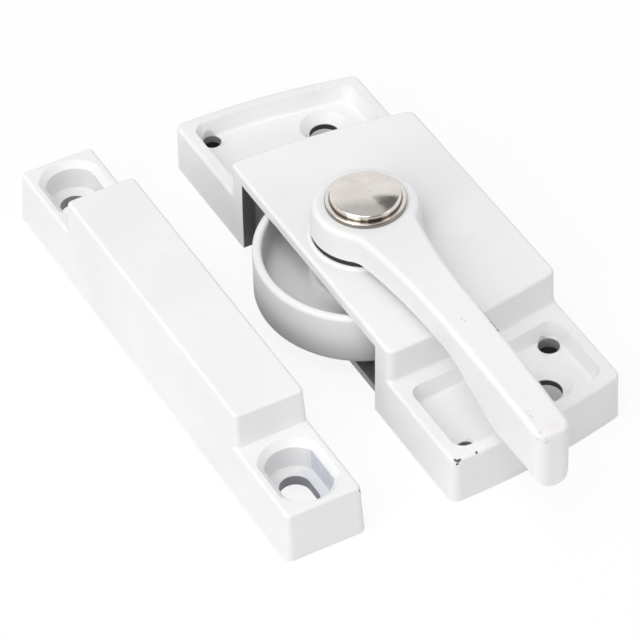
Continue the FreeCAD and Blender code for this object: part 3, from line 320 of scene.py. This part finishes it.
housing_enamel = enamel(
    "housing_enamel",
    chips=[((-8.35, -38.85, 7.2), 0.3), ((-8.6, -38.5, 7.35), 0.18), ((-7.95, -38.85, 7.3), 0.22),
           ((-8.5, -38.95, 6.7), 0.26), ((-8.6, -38.95, 6.35), 0.16), ((-6.1, -38.85, 7.3), 0.1),
           ((-5.5, -38.75, 7.3), 0.2), ((-4.9, -38.8, 7.3), 0.08), ((-3.9, -38.8, 7.3), 0.12),
           ((-2.9, -38.8, 7.3), 0.11)],
    scuffs=[((-1.5, -24.5, 12.8), 0.8), ((4.0, -36.8, 5.6), 0.4)],
    shade_boxes=[
        # painted shade in the countersunk hole, the hole by the block and the corner hole
        ((7.9, 28.1, 2.8), (12.3, 32.5, 3.66), DEEP_SHADE),
        ((12.5, 22.6, 3.5), (15.7, 25.8, 4.97), SHADED),
        ((12.5, 22.6, UNDER), (15.7, 25.8, 3.5), DEEP_SHADE),
        ((-6.5, 34.0, 3.9), (-3.7, 36.8, 4.97), (0.30, 0.30, 0.31)),
        ((-6.5, 34.0, UNDER), (-3.7, 36.8, 3.9), DEEP_SHADE),
        # painted shade on the cheeks and inside the cavity
        ((-9.2, 17.7, UNDER), (18.0, 18.55, 11.34), (0.09, 0.09, 0.095)),
        ((-8.3, UNDER, UNDER), (18.0, 17.7, 11.34), (0.12, 0.12, 0.12))])
handle_enamel = enamel(
    "handle_enamel",
    chips=[((2.88, -24.7, 18.05), 0.17), ((2.88, -25.3, 18.05), 0.22, LONG),
           ((2.86, -26.1, 18.05), 0.2, LONG), ((2.8, -26.9, 18.05), 0.22, LONG),
           ((2.77, -27.8, 18.05), 0.23, LONG), ((2.72, -28.7, 18.03), 0.24, LONG),
           ((2.66, -29.5, 18.0), 0.26), ((2.56, -30.2, 18.0), 0.3)],
    scuffs=[((-0.45, -26.5, 18.45), 0.42), ((-1.6, -45.1, 17.5), 0.28, LONG),
            ((-1.9, -48.3, 16.7), 0.7), ((-1.4, -48.8, 16.2), 0.65)],
    stains=[((0.3, -48.1, 17.0), 0.7), ((1.4, -48.6, 16.3), 0.5)])
# The cam's outer wall is painted darker towards its bottom as shade
cam_enamel = enamel("cam_enamel", scuffs=[((-11.0, -6.0, 6.1), 0.3)],
                    low_shade=(2.9, 8.5, 0.55, 13.6))
keeper_enamel = enamel(
    "keeper_enamel",
    chips=[((-21.81, -36.69, 7.0), 0.34), ((-21.77, -36.75, 6.4), 0.24),
           ((-21.89, -36.58, 7.4), 0.24)],
    scuffs=[((-24.5, -29.6, 4.3), 0.9)],
    # painted shade on the deep walls of the slots
    shade_boxes=[((-29.4, 28.4, 1.7), (-24.7, 35.3, 3.46), (0.36, 0.36, 0.39))],
    mirror_mm=1.5,
    # painted blue-grey shade in bands on the counterbore's right wall
    banded_shade=((-24.9, UNDER, 3.4), (-22.75, 4.0, 6.9), -31.0))
# The zinc's colour is set darker than the metal, as painted shade for the base plate's front edge
zinc_plate = plated("zinc_plate", (0.24, 0.24, 0.24), (0.36, 0.36, 0.355), 0.36, 0.5, metallic=0.6)
spring_steel = plated("spring_steel", (0.20, 0.20, 0.22), (0.30, 0.30, 0.33), 0.3, 0.42)
bronze = plated("sintered_bronze", (0.33, 0.20, 0.09), (0.46, 0.30, 0.15), 0.42, 0.6)

FINISHES = {
    "housing": housing_enamel,
    "handle": handle_enamel,
    "cam": cam_enamel,
    "keeper": keeper_enamel,
    # The trim's outer edge and the button's lower side get painted shade
    "trim_washer": polished("trim_nickel", unshaded_ring=(5.0, 5.45)),
    "cap_button": polished("cap_nickel", unshaded_above=19.45),
    "base_plate": zinc_plate,
    "plate_screws": zinc_plate,
    "pivot_screw": zinc_plate,
    "pivot_nut": zinc_plate,
    "lock_washer": zinc_plate,
    "detent_rivets": zinc_plate,
    "detent_spring": spring_steel,
    "coil_spring": spring_steel,
    "pivot_bush": bronze,
    "thrust_washer": bronze,
    "hub_washer": nylon("washer_nylon", (0.010, 0.012, 0.018), (0.024, 0.026, 0.034)),
}
for name, node in NODES.items():
    node.data.materials.clear()
    node.data.materials.append(FINISHES[name])


# Camera: fitted to the corners and holes of the photographed pieces
AIM = Vector((-7.23, 0.36, 0.0)) * MM
YAW = math.radians(-27.62)
PITCH = math.radians(42.90)
ROLL = math.radians(-1.80)
DISTANCE = 583.72 * MM
PICTURE_WIDTH = 640
FOCAL_PIXELS = 4300.87
NEAREST, FARTHEST = 0.02, 20.0

back = Vector((math.sin(YAW) * math.cos(PITCH), -math.cos(YAW) * math.cos(PITCH), math.sin(PITCH)))
level_right = Vector((math.cos(YAW), math.sin(YAW), 0.0))
level_up = back.cross(level_right)
right = level_right * math.cos(ROLL) + level_up * math.sin(ROLL)
up = level_up * math.cos(ROLL) - level_right * math.sin(ROLL)
camera_data = bpy.data.cameras.new("camera")
camera_data.sensor_width = 36.0
camera_data.sensor_fit = "HORIZONTAL"
camera_data.lens = FOCAL_PIXELS / PICTURE_WIDTH * camera_data.sensor_width
camera_data.clip_start = NEAREST
camera_data.clip_end = FARTHEST
camera = bpy.data.objects.new("camera", camera_data)
turn = Matrix((right, up, back)).transposed()
camera.matrix_world = Matrix.Translation(AIM + back * DISTANCE) @ turn.to_4x4()
bpy.context.scene.collection.objects.link(camera)
bpy.context.scene.camera = camera


FLOOR_HALF = 1.5
FLOOR_LEVEL = -0.0001
FLOOR_PAPER = (0.74, 0.74, 0.74, 1.0)
FLOOR_GLOW = 1.04
FLOOR_GLOW_SHARE = 0.84


def white_ground():
    """The pale floor: white to the camera and in reflections, and it keeps a soft shadow."""
    shader = Shader(bpy.data.materials.new("floor_white"), blank=True)
    rays = shader.add("ShaderNodeLightPath").outputs
    shown = shader.math("MAXIMUM", rays["Is Camera Ray"], rays["Is Glossy Ray"])
    share = shader.math("MULTIPLY", shown, FLOOR_GLOW_SHARE)
    paper = shader.add("ShaderNodeBsdfDiffuse")
    paper.inputs["Color"].default_value = FLOOR_PAPER
    glow = shader.add("ShaderNodeEmission")
    glow.inputs["Color"].default_value = WHITE
    glow.inputs["Strength"].default_value = FLOOR_GLOW
    blend = shader.add("ShaderNodeMixShader")
    for value, socket in zip((share, paper.outputs[0], glow.outputs[0]), blend.inputs):
        shader.link(value, socket)
    shader.link(blend.outputs[0], shader.add("ShaderNodeOutputMaterial").inputs["Surface"])
    return shader.owner


floor_mesh = bpy.data.meshes.new("floor")
floor_mesh.from_pydata([(x * FLOOR_HALF, y * FLOOR_HALF, FLOOR_LEVEL)
                        for x, y in ((-1, -1), (1, -1), (1, 1), (-1, 1))], [], [(0, 1, 2, 3)])
floor_mesh.materials.append(white_ground())
floor = bpy.data.objects.new("floor", floor_mesh)
bpy.context.scene.collection.objects.link(floor)


# The world. Heights and sides are parts of a unit direction.
ROOM_LIGHT = 0.55             # what lights the object
ROOM_SHOWN = 1.0              # what the camera sees
WALL, OVERHEAD = 0.97, 0.60   # what reflections see low and high
BEHIND = 0.35                 # of that, behind the camera
CARD_UPPER_SLOPE = 0.30       # a dark wedge that opens to the right between two slopes
CARD_LOWER_SLOPE = 1.15
CARD_EDGE_SCALE = 22.0
CARD_EDGE_WAVE = 0.02
CARD_DARK, CARD_LIGHTER = 0.88, 0.70


def studio():
    """Even soft light. Reflections see a bright wall, a greyer top, a dark card and a dim room."""
    world = bpy.data.worlds.new("studio")
    bpy.context.scene.world = world
    shader = Shader(world, "Generated", blank=True)
    height = shader.along(UPWARD)
    aside = shader.along(level_right)
    ahead = shader.along((-math.sin(YAW), math.cos(YAW), 0))
    seen = shader.ramp(height, 0.70, 0.77, WALL, OVERHEAD)
    seen = shader.math("MULTIPLY", seen, shader.ramp(ahead, -0.25, -0.45, 1.0, BEHIND))
    ragged = shader.add("ShaderNodeTexNoise")
    shader.link(shader.place, ragged.inputs["Vector"])
    ragged.inputs["Scale"].default_value = CARD_EDGE_SCALE
    wave = shader.math("MULTIPLY", shader.math("SUBTRACT", ragged.outputs["Fac"], 0.5),
                       CARD_EDGE_WAVE)
    upper = shader.math("ADD", shader.along(level_right * CARD_UPPER_SLOPE + UPWARD), wave)
    lower = shader.math("ADD", shader.along(level_right * CARD_LOWER_SLOPE - UPWARD), wave)
    card = shader.ramp(upper, 0.709, 0.721)
    for limit in (shader.ramp(lower, -0.657, -0.639), shader.ramp(aside, 0.32, 0.26),
                  shader.ramp(ahead, 0.2, 0.3),
                  shader.ramp(upper, 0.715, 0.80, CARD_DARK, CARD_LIGHTER)):
        card = shader.math("MULTIPLY", card, limit)
    seen = shader.math("MULTIPLY", seen, shader.opposite(card))
    rays = shader.add("ShaderNodeLightPath").outputs
    strength = shader.choose(rays["Is Glossy Ray"], ROOM_LIGHT, seen)
    strength = shader.choose(rays["Is Camera Ray"], strength, ROOM_SHOWN)
    sky = shader.add("ShaderNodeBackground")
    sky.inputs["Color"].default_value = WHITE
    shader.link(strength, sky.inputs["Strength"])
    shader.link(sky.outputs[0], shader.add("ShaderNodeOutputWorld").inputs["Surface"])


studio()


LAMP_AIM = Vector((0.0, 0.0, 0.005))
LAMPS = {   # place and width in metres, power in watts
    "key": ((-0.33, 0.0, 0.86), 0.7, 1.85),
    "side": ((-0.8, -0.3, 0.45), 0.6, 2.8),
    "fill": ((-0.35, -0.36, 0.86), 0.6, 1.9),
    "edge": ((0.5, -0.65, 0.5), 0.4, 0.5),
}


def softbox(name, place, width, watts):
    """A square lamp that points at the part."""
    data = bpy.data.lights.new(name, "AREA")
    data.shape = "SQUARE"
    data.size = width
    data.energy = watts
    lamp = bpy.data.objects.new(name, data)
    lamp.location = place
    lamp.rotation_euler = (LAMP_AIM - Vector(place)).to_track_quat("-Z", "Y").to_euler()
    bpy.context.scene.collection.objects.link(lamp)


for name, values in LAMPS.items():
    softbox(name, *values)

bpy.context.scene.view_settings.view_transform = "Standard"
